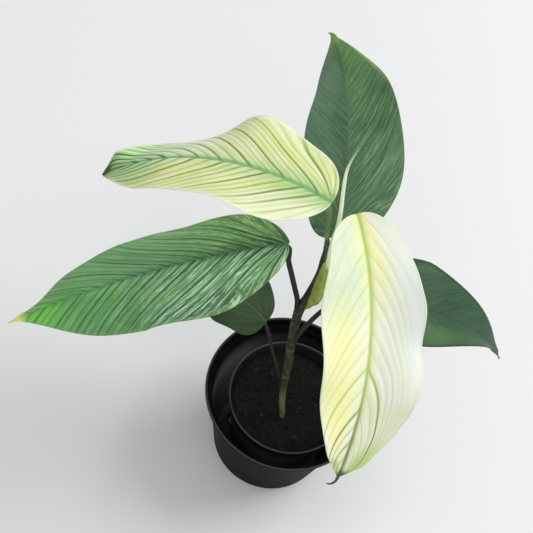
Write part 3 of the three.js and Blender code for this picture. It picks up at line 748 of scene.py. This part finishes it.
# %% Paint the leaves
def leaf_finish(name, tones, under=False):
    finish = Finish(f"{name}_{'under' if under else 'upper'}", Specular_IOR_Level=0.25)
    along, across, seed = finish.read("leaf_place")
    number, out, side = finish.read("vein_place")
    strength, spacing, _ = finish.read("look_place")
    fine = finish.noise(finish.join(number * 7, out * 0.12, seed + side * 3), 1, 3, 0.6)
    finer = finish.noise(finish.join(number * 15, out * tones["dashes"], seed + side * 5), 1, 2, 0.6)
    strip = finish.noise(finish.join(number * 1.3, out * 0.03, seed + side * 7), 1, 2)
    mottle = finish.noise(finish.object_place(), 42, 3)
    between = finish.node("ShaderNodeMath", {"operation": "PINGPONG"}, {0: number, 1: 0.5})
    apart = between * spacing * USUAL_SPACING
    left = finish.ease(across, -0.06, 0.06)
    ends = finish.ease(along + 0.1 * fine, 0.55, 0.95)

    def by_side(amounts):
        """The first amount on the left half of the leaf and the second on the right."""
        return amounts[1] + left * (amounts[0] - amounts[1])

    colour = finish.mix(finish.ease(mottle, 0.3, 0.7), tones["ground"], tones["ground_light"])
    for centre_along, centre_across, reach_along, reach_across, share, tint in tones["tints"]:
        far_along = (along - centre_along) * (1 / reach_along)
        far_across = (across - centre_across) * (1 / reach_across)
        distance = far_along * far_along + far_across * far_across
        patch = finish.ease(distance + 0.9 * fine + 0.5 * strip, 1.9, 0.7)
        colour = finish.mix(patch * share, colour, tint)
    strips = finish.ease(strip + 0.25 * fine, 0.52, 0.72)
    colour = finish.mix(strips * tones["strips"] * (1 - 0.95 * ends), colour, tones["strip"])
    amount = by_side(tones["streaks"])
    streaks = finish.ease(fine + 0.6 * finer, 0.72, 0.98) * finish.ease(apart, 0.1, 1.3)
    streaks = streaks * amount * (1 - tones["streak_fade"] * finish.ease(along, 0.2, 0.7))
    silver = finish.mix(left, tones.get("streak_right", tones["streak"]), tones["streak"])
    colour = finish.mix(streaks * (1 - 0.3 * ends), colour, silver)
    spread_share, reach, spread = tones["spread"]
    near = finish.ease(out + 12 * fine - 6 * strength, reach, 1.0) * finish.ease(along, 0.75, 0.0)
    colour = finish.mix(near * spread_share, colour, spread)
    line = finish.mix(ends, tones["line"], tones["line_end"])
    colour = finish.mix(finish.ease(apart, 2.6, 0.2) * strength * tones["halo"], colour, line)
    width = tones["line_width"] * (0.4 + 0.6 * strength) * (1 + tones["widen"] * ends)
    boldness = by_side(tones["lines"])
    drawn = finish.ease(apart, width, 0.15) * strength * strength * (0.4 + 0.9 * finer)
    colour = finish.mix(drawn * boldness, colour, line)
    wide = tones["rib_width"]
    rib = finish.ease(out + 0.5 * wide * fine, 1.2 * wide, 0.3 * wide)
    colour = finish.mix(rib * tones["rib_share"], colour, finish.mix(ends, tones["rib"], tones["rib_end"]))
    tip = finish.ease(along + 0.05 * fine, tones["tip_from"], 1.01)
    colour = finish.mix(tip, colour, tones["tip"])
    edge = finish.node("ShaderNodeMath", {"operation": "ABSOLUTE"}, {0: across}) + 0.06 * fine
    colour = finish.mix(finish.ease(edge, 0.95, 1.02) * tones["edge_share"], colour, tones["edge"])
    if under:
        colour = finish.mix(0.55, colour, tones["under"])
    finish.paint("Base Color", colour)
    finish.paint("Roughness", (0.58 if under else 0.42) + 0.14 * fine)
    finish.bump(fine + 0.5 * finer - 0.8 * drawn, 0.35, 0.0004)
    return finish


print("one recipe paints both sides of every leaf")

# %% [markdown]
# Each leaf's colours come next. A pair of numbers is for the left and the right half. What spreads from the midrib
# has a strength, a reach in mm and a colour. Each tint is a soft patch: a place along and across, a reach along and
# across, all as shares of the leaf, then a strength and a colour.

# %% List the leaves' tones
USUAL_TONES = dict(dashes=0.3, strips=0.3, streak_fade=0, halo=0.1, line_width=1.0, lines=(0.5, 0.5), widen=0,
                   rib_width=2.0, rib_share=0.5, tip_from=0.95, edge_share=0.4, tints=[])
TONES = {
    "leaf_1": dict(
        ground=(64, 116, 68), ground_light=(92, 148, 86), strips=0.4, strip=(112, 168, 98), dashes=0.42,
        streak=(212, 246, 212), streak_right=(212, 248, 194), streaks=(1, 0.85), streak_fade=0.75, line=(26, 68, 48),
        line_end=(58, 116, 58), lines=(1, 0.75), line_width=1.7, halo=0.28, spread=(0.5, 12, (46, 96, 70)),
        rib=(44, 90, 66), rib_end=(80, 140, 70), rib_width=3.2, rib_share=0.45, tip=(226, 226, 132), tip_from=0.965,
        edge=(120, 164, 92), under=(128, 152, 112),
        # The dark green patch at the base of the right half is painted shade
        tints=[(0.04, -0.6, 0.2, 0.9, 0.9, (42, 60, 38)), (0.03, 0.9, 0.06, 0.3, 0.85, (176, 206, 150)),
               (0.45, -0.8, 0.5, 0.8, 0.7, (166, 236, 164)), (0.5, -0.25, 0.4, 0.5, 0.6, (124, 192, 140)),
               (0.32, 0.4, 0.3, 0.7, 0.5, (118, 172, 116)), (0.36, 0.95, 0.26, 0.36, 0.9, (50, 88, 60)),
               (0.7, 0.7, 0.3, 0.5, 0.45, (66, 122, 78)), (1.0, 0.0, 0.5, 1.6, 0.55, (98, 170, 80)),
               (1.02, 0.0, 0.22, 1.5, 0.8, (116, 200, 72))]),
    "leaf_2": dict(
        ground=(216, 229, 140), ground_light=(230, 238, 168), strips=0.6, strip=(240, 247, 208),
        streak=(248, 250, 228), streaks=(0.5, 0.5), line=(90, 124, 44), line_end=(48, 102, 50), lines=(1, 1),
        line_width=1.7, widen=0.9, halo=0.45, spread=(0.7, 22, (150, 204, 124)), rib=(104, 166, 108),
        rib_end=(76, 138, 84), rib_width=3.4, rib_share=0.75, tip=(64, 108, 58), tip_from=0.965, edge=(244, 248, 228),
        edge_share=0.75, under=(196, 206, 150),
        tints=[(0.24, -0.55, 0.22, 0.3, 0.55, (228, 238, 126)), (0.45, 0.45, 0.28, 0.3, 0.5, (230, 238, 132)),
               (0.14, 0.7, 0.22, 0.35, 0.6, (242, 247, 216)), (0.88, -0.35, 0.3, 0.95, 0.9, (188, 240, 162)),
               (0.7, 0.9, 0.2, 0.3, 0.8, (236, 241, 146)), (0.88, 0.3, 0.26, 0.95, 0.95, (172, 216, 138)),
               # The near-white patch at 0.68 along and -0.5 across is painted light that lifts the shade where the
               # blade turns away from the lamp
               (0.68, -0.5, 0.22, 0.7, 0.8, (246, 255, 226)), (0.76, -0.2, 0.16, 0.4, 0.8, (190, 240, 168)),
               (0.98, 0.5, 0.18, 0.9, 0.8, (146, 194, 116)), (1.03, -0.9, 0.16, 0.5, 0.6, (110, 168, 98))]),
    "leaf_3": dict(
        ground=(240, 242, 210), ground_light=(248, 248, 228), strips=0.25, strip=(236, 240, 196),
        streak=(255, 255, 248), streaks=(0.25, 0.25), line=(192, 214, 106), line_end=(90, 126, 50), lines=(0.6, 0.6),
        line_width=2.2, widen=0.3, halo=0.45, spread=(0.5, 13, (230, 240, 168)), rib=(192, 212, 112),
        rib_end=(104, 138, 34), rib_width=2.2, rib_share=0.85, tip=(84, 96, 60), tip_from=0.97, edge=(210, 224, 160),
        edge_share=0.3, under=(214, 218, 178),
        tints=[(0.36, 0.9, 0.28, 0.36, 0.7, (238, 246, 252)), (0.1, -0.2, 0.3, 0.3, 0.5, (206, 228, 138)),
               (0.1, 0.2, 0.22, 0.24, 0.75, (252, 250, 170)), (0.22, -0.65, 0.26, 0.55, 0.85, (206, 222, 196)),
               (0.16, 0.75, 0.15, 0.3, 0.5, (230, 238, 240)), (0.5, 0.5, 0.22, 0.4, 0.6, (228, 237, 240)),
               (0.6, -0.6, 0.35, 0.45, 0.8, (249, 247, 158)), (0.92, 0.75, 0.15, 0.5, 0.8, (192, 220, 120)),
               (0.95, -0.8, 0.09, 0.4, 0.8, (172, 200, 96))]),
    "leaf_4": dict(
        ground=(43, 72, 54), ground_light=(54, 87, 62), strip=(66, 104, 66), streak=(88, 132, 88), streaks=(0.2, 0.3),
        lines=(0.2, 0.2), halo=0.05, line=(38, 64, 46), line_end=(38, 64, 46), spread=(0.3, 10, (52, 84, 66)),
        rib=(66, 100, 76), rib_end=(52, 82, 60), tip=(44, 62, 48), edge=(34, 52, 40), edge_share=0.7,
        under=(104, 132, 100), rib_share=0.25, tints=[(0.45, -0.7, 0.25, 0.4, 0.6, (80, 116, 62))]),
    "leaf_5": dict(
        ground=(54, 88, 60), ground_light=(76, 112, 72), strip=(88, 126, 80), streak=(130, 168, 120),
        streaks=(0.6, 0.55), lines=(0.3, 0.3), halo=0.06, line=(44, 74, 50), line_end=(50, 84, 52),
        spread=(0.4, 14, (62, 98, 80)), rib=(88, 124, 100), rib_end=(64, 98, 70), tip=(120, 156, 76),
        edge=(80, 118, 68), under=(112, 138, 104),
        tints=[(0.5, 0.6, 0.5, 0.7, 0.8, (96, 144, 114)), (0.12, 0.05, 0.14, 0.3, 0.4, (112, 144, 118)),
               (0.3, -0.55, 0.35, 0.6, 0.7, (58, 94, 66)), (0.92, -0.3, 0.25, 0.8, 0.6, (88, 128, 60)),
               (0.9, -1.0, 0.25, 0.16, 0.8, (146, 178, 92)), (0.78, 0.3, 0.12, 0.3, 0.5, (112, 154, 108)),
               (0.5, 0.15, 0.14, 0.25, 0.5, (52, 84, 72)), (0.97, 0.3, 0.1, 0.8, 0.5, (120, 156, 76))]),
    "leaf_6": dict(
        ground=(48, 66, 42), ground_light=(60, 84, 52), strip=(60, 82, 52), streak=(68, 94, 60), streaks=(0.3, 0.4),
        line=(34, 50, 32), line_end=(34, 50, 32), spread=(0.3, 8, (44, 62, 44)), rib=(84, 104, 70),
        rib_end=(60, 78, 50), rib_width=1.5, rib_share=0.8, tip=(80, 100, 60), edge=(50, 68, 44), under=(92, 114, 82)),
}
for name in TONES:
    TONES[name] = {**USUAL_TONES, **TONES[name]}
for name, leaf in LEAVES.items():
    blade(name, leaf, [leaf_finish(name, TONES[name]), leaf_finish(name, TONES[name], under=True)])

# %% [markdown]
# ## Stalks
#
# Petioles and the stem are tubes along a smooth line. A grid is rolled into a tube: one way of it runs along the
# line, the other goes round. A frame is carried along the line without twisting, so that ridges run straight, and
# the grid's ends and its seam are closed.


# %% Roll a grid into a stalk
LINE_STEPS = 24


def blend(first, second, low, high, place):
    """What lies at a place between the first, at low, and the second, at high."""
    return first * (high - place) / (high - low) + second * (place - low) / (high - low)


def smooth_line(stops, steps):
    """Evenly spaced places on a smooth line through the stops, which are points with a radius each."""
    points, radii = [np.array(column, float) for column in zip(*stops)]
    ends = np.vstack([2 * points[0] - points[1], points, 2 * points[-1] - points[-2]])
    knots = np.concatenate([[0], np.cumsum(np.linalg.norm(np.diff(ends, axis=0), axis=1) ** 0.5)])
    fine, thick = [], []
    for i in range(1, len(ends) - 2):
        t0, t1, t2, t3 = knots[i - 1:i + 3]
        t = np.linspace(t1, t2, LINE_STEPS, endpoint=i == len(ends) - 3)[:, None]
        before = blend(ends[i - 1], ends[i], t0, t1, t)
        here = blend(ends[i], ends[i + 1], t1, t2, t)
        after = blend(ends[i + 1], ends[i + 2], t2, t3, t)
        fine.append(blend(blend(before, here, t0, t2, t), blend(here, after, t1, t3, t), t1, t2, t))
        share = ease((t[:, 0] - t1) / (t2 - t1), 0, 1)
        thick.append(radii[i - 1] + (radii[i] - radii[i - 1]) * share)
    fine, thick = np.vstack(fine), np.concatenate(thick)
    run = np.concatenate([[0], np.cumsum(np.linalg.norm(np.diff(fine, axis=0), axis=1))])
    even = np.linspace(0, run[-1], steps + 1)
    line = np.stack([np.interp(even, run, fine[:, axis]) for axis in range(3)], 1)
    return line, np.interp(even, run, thick), even


def carried_frames(line):
    """Two directions across the line at each place, carried along it without twisting."""
    ahead = np.gradient(line, axis=0)
    ahead /= np.linalg.norm(ahead, axis=1)[:, None]
    across = np.cross(ahead[0], (0.3, 1, 0.1))
    first = []
    for way in ahead:
        across = across - way * (across @ way)
        across = across / np.linalg.norm(across)
        first.append(across)
    first = np.array(first)
    return first, np.cross(ahead, first)


def stalk(name, stops, grid, finish, shape=None):
    """A closed tube with a grid of steps along and sides round.

    The shape may change its radius: it gets the distance along, the angle round and the radius, all as arrays.
    """
    steps, sides = grid
    line, thick, run = smooth_line(stops, steps)
    first, second = carried_frames(line)
    bm = bmesh.new()
    along = bm.verts.layers.float_vector.new("stalk_place")
    bm.loops.layers.uv.verify()
    bmesh.ops.create_grid(bm, x_segments=steps, y_segments=sides, size=1, calc_uvs=True)
    flat = np.array([vert.co for vert in bm.verts])
    row = np.rint((flat[:, 0] + 1) / 2 * steps).astype(int)
    angle = np.pi * (flat[:, 1] + 1)
    radius = thick[row] if shape is None else shape(run[row], angle, thick[row])
    round_way = first[row] * np.cos(angle)[:, None] + second[row] * np.sin(angle)[:, None]
    for vert, place, far, turn in zip(bm.verts, line[row] + round_way * radius[:, None], run[row], angle):
        vert.co = place * MM
        vert[along] = (far / run[-1], turn / (2 * math.pi), far)
    bmesh.ops.remove_doubles(bm, verts=bm.verts[:], dist=1e-7)
    bmesh.ops.holes_fill(bm, edges=bm.edges[:], sides=0)
    bmesh.ops.recalc_face_normals(bm, faces=bm.faces[:])
    return add_object(name, mesh_of(bm, name), [finish])


print("stalks are rolled from grids")

# %% [markdown]
# ## Petioles
#
# Each petiole is the slim neck of its leaf. It swells a little where it meets the blade and runs on beneath the
# midrib as a tapering rib. Fresh ones are olive, older and shaded ones nearly black.

# %% Grow the petioles
PETIOLE_GRID, NECK_SWELL = (120, 14), 1.12
RIB_REACH, RIB_END_RADIUS = np.array((0.03, 0.1, 0.2, 0.32)), 0.5
# How far each rib's middle line lies below the midrib, in mm, besides its own radius, so that it meets the blade
RIB_DEPTH = {"leaf_1": 0.85, "leaf_2": 1.25, "leaf_3": 1.25, "leaf_4": 0.32, "leaf_5": 0.62, "leaf_6": 0.25}
PETIOLE_SLIM = {"leaf_2": 0.8, "leaf_6": 0.82}
PETIOLE_TONES = {
    "leaf_1": ((16, 18, 15), (34, 38, 28)), "leaf_2": ((84, 110, 64), (124, 148, 94)),
    "leaf_3": ((96, 110, 50), (140, 152, 78)), "leaf_4": ((20, 23, 18), (44, 50, 34)),
    "leaf_5": ((62, 76, 38), (92, 108, 52)), "leaf_6": ((22, 26, 18), (42, 48, 32)),
}


def stalk_finish(name, dark, light):
    """Smooth skin in two tones, with fine lines that run along it."""
    finish = Finish(name, Specular_IOR_Level=0.25)
    _, turn, far = finish.read("stalk_place")
    lines = finish.noise(finish.join(turn * 40, far * 0.05, 0.0), 1, 3)
    spots = finish.noise(finish.object_place(), 260, 3)
    finish.paint("Base Color", finish.mix(finish.ease(lines + 0.6 * spots, 0.5, 1.05), dark, light))
    finish.paint("Roughness", 0.45 + 0.2 * spots)
    finish.bump(lines + 0.4 * spots, 0.3, 0.0003)
    return finish


for name, leaf in LEAVES.items():
    rib, thick = midrib(leaf), leaf["petiole_radius"]
    thin = thick + (RIB_END_RADIUS - thick) * np.arange(1, len(RIB_REACH) + 1) / len(RIB_REACH)
    depth = (RIB_DEPTH[name] + thin)[:, None]
    under_rib = along_rib(rib, "point", RIB_REACH) - depth * along_rib(rib, "face", RIB_REACH)
    radii = np.array([*[thick] * (len(leaf["petiole"]) - 1), thick * NECK_SWELL, *thin]) * PETIOLE_SLIM.get(name, 1)
    stops = list(zip([*leaf["petiole"], *under_rib], radii))
    piece = stalk(f"{name}_petiole", stops, PETIOLE_GRID, stalk_finish(f"{name}_stalk", *PETIOLE_TONES[name]))
    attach(piece, "root")
    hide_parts(name)
print(len(LEAVES), "petioles")

# %% [markdown]
# ## The stem and its sheath
#
# The stem swells a little at each node, where an old leaf left a ring. It is nearly black in the middle and greener
# towards both ends. At the top the broad yellow-green sheath of the youngest petiole clasps it.

# %% Grow the stem
STEM = [
    ((3, -10, 38), 1.8), ((3, -10, 69), 1.8), ((-1, -7, 84), 2.3), ((-4.5, -2, 99), 2.5), ((-8, 5, 124), 2.9),
    ((-11, 8, 141), 2.9), ((-14.5, 13, 168), 3.2), ((-15, 15.5, 183), 3.4), ((-12.2, 19, 198), 3.6),
    ((-11.4, 24.5, 220), 3.1), ((-12.4, 27, 232), 2.8), ((-13.8, 28.2, 246), 2.2), ((-16.5, 27.2, 262), 1.2),
]
STEM_TONES = [(52, 70, (54, 56, 41)), (84, 100, (46, 48, 35)), (104, 118, (34, 36, 27)),
              (200, 230, (60, 70, 42))]
SHEATH = [
    ((-13.3, 15.7, 182.7), 1.4), ((-10.9, 17.1, 190.4), 2.9), ((-8.8, 18.7, 198.4), 4.8), ((-8.6, 20.6, 207.8), 4.8),
    ((-9.4, 22.3, 216.3), 4), ((-10.1, 24.1, 224.6), 3.1), ((-10.8, 25.7, 231.5), 2.2), ((-11.3, 26.9, 238), 1.3),
]
NODES = (36, 52, 74, 104)
RING_WIDTH, RING_HEIGHT = 1.1, 0.3
STEM_GRID, SHEATH_GRID = (300, 24), (160, 28)


def knobbly(run, angle, radius):
    rings = sum(np.exp(-(((run - node - 0.8 * np.sin(angle + node)) / RING_WIDTH) ** 2)) for node in NODES)
    ridges = 0.05 * np.sin(5 * angle + run / 9) + 0.03 * np.sin(3 * angle - run / 14)
    return radius * (1 + ridges) + RING_HEIGHT * rings


def fluted(run, angle, radius):
    return radius * (1 + 0.04 * np.sin(7 * angle) + 0.03 * np.sin(3 * angle + run / 11))


def stem_finish(name, tones, changes, light, dark, rings):
    """Skin that changes tone at some distances in mm along, with lighter specks, darker lines and pale rings."""
    finish = Finish(name, Specular_IOR_Level=0.28)
    _, turn, far = finish.read("stalk_place")
    spots = finish.noise(finish.object_place(), 220, 4, 0.6)
    lines = finish.noise(finish.join(turn * 30, far * 0.08, 0.0), 1, 3)
    colour = finish.mix(spots, *tones)
    for start, end, skin in changes:
        colour = finish.mix(finish.ease(far + 6 * lines, start, end), colour, skin)
    colour = finish.mix(finish.ease(spots + 0.5 * lines, 0.75, 0.95) * 0.5, colour, light)
    colour = finish.mix(finish.ease(lines, 0.56, 0.7) * 0.6, colour, dark)
    for node in rings:
        ring = finish.ease(far, node - 1.6, node - 0.6) * finish.ease(far, node + 1.8, node + 0.7)
        colour = finish.mix(ring * 0.35, colour, (116, 114, 80))
    finish.paint("Base Color", colour)
    finish.paint("Roughness", 0.42 + 0.25 * spots)
    finish.bump(lines + spots, 0.5, 0.0006)
    return finish


stem_skin = stem_finish("stem_skin", ((98, 100, 68), (130, 130, 92)), STEM_TONES, (112, 114, 66),
                        (44, 48, 28), NODES)
sheath_skin = stem_finish("sheath_skin", ((102, 118, 38), (166, 180, 88)), [(44, 58, (160, 178, 100))],
                          (176, 190, 104), (66, 76, 32), ())
stem = stalk("main_stem", STEM, STEM_GRID, stem_skin, knobbly)
sheath = stalk("clasping_sheath", SHEATH, SHEATH_GRID, sheath_skin, fluted)
for piece in (stem, sheath):
    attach(piece, "root")
    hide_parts("stem")
print("stem with", len(NODES), "nodes")

# %% [markdown]
# ## The rolled new leaf
#
# A new leaf comes up rolled like a scroll. Its edge shows as one fine seam that winds up the roll. The tube's
# radius grows steadily once round and drops back at the seam.

# %% Roll the new leaf
NEW_LEAF = [
    ((-9.7, 21.5, 211), 1), ((-10.3, 23.4, 224), 1.3), ((-10, 25.2, 231.6), 1.5), ((-10.4, 26.6, 239.3), 1.6),
    ((-11.4, 27.4, 247.5), 1.6), ((-12.3, 28, 260), 1.5), ((-12.7, 28.4, 275), 1.45), ((-15.5, 29.6, 297), 1.3),
    ((-18.3, 30.4, 315), 1.2), ((-20.2, 30.2, 332), 0.95), ((-19.8, 28, 348), 0.65), ((-18.5, 24.8, 364), 0.3),
]
ROLL_GRID, SEAM_TURNS, ROLL_START, ROLL_GROWTH = (160, 28), 0.8, 0.88, 0.2


def rolled(run, angle, radius):
    turn = (angle / (2 * np.pi) + SEAM_TURNS * run / run.max()) % 1
    return radius * (ROLL_START + ROLL_GROWTH * turn)


new_skin = Finish("new_leaf_skin", Specular_IOR_Level=0.3, Subsurface_Weight=0.15, Subsurface_Radius=(0.9, 1, 0.8),
                  Subsurface_Scale=0.002)
share, turn, far = new_skin.read("stalk_place")
lines = new_skin.noise(new_skin.join(turn * 26 + share * 20, far * 0.03, 0.0), 1, 3)
pale = new_skin.mix(new_skin.ease(lines, 0.4, 0.6), (238, 255, 206), (246, 255, 224))
base = new_skin.mix(new_skin.ease(share, 0.08, 0.22), (178, 194, 104), pale)
new_skin.paint("Base Color", new_skin.mix(new_skin.ease(share, 0.75, 1.0), base, (150, 182, 156)))
new_skin.paint("Roughness", 0.4 + 0.15 * lines)
new_skin.bump(lines, 0.3, 0.0003)
new_leaf = stalk("rolled_new_leaf", NEW_LEAF, ROLL_GRID, new_skin, rolled)
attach(new_leaf, "root")
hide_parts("new_leaf")
print("new leaf rolled")
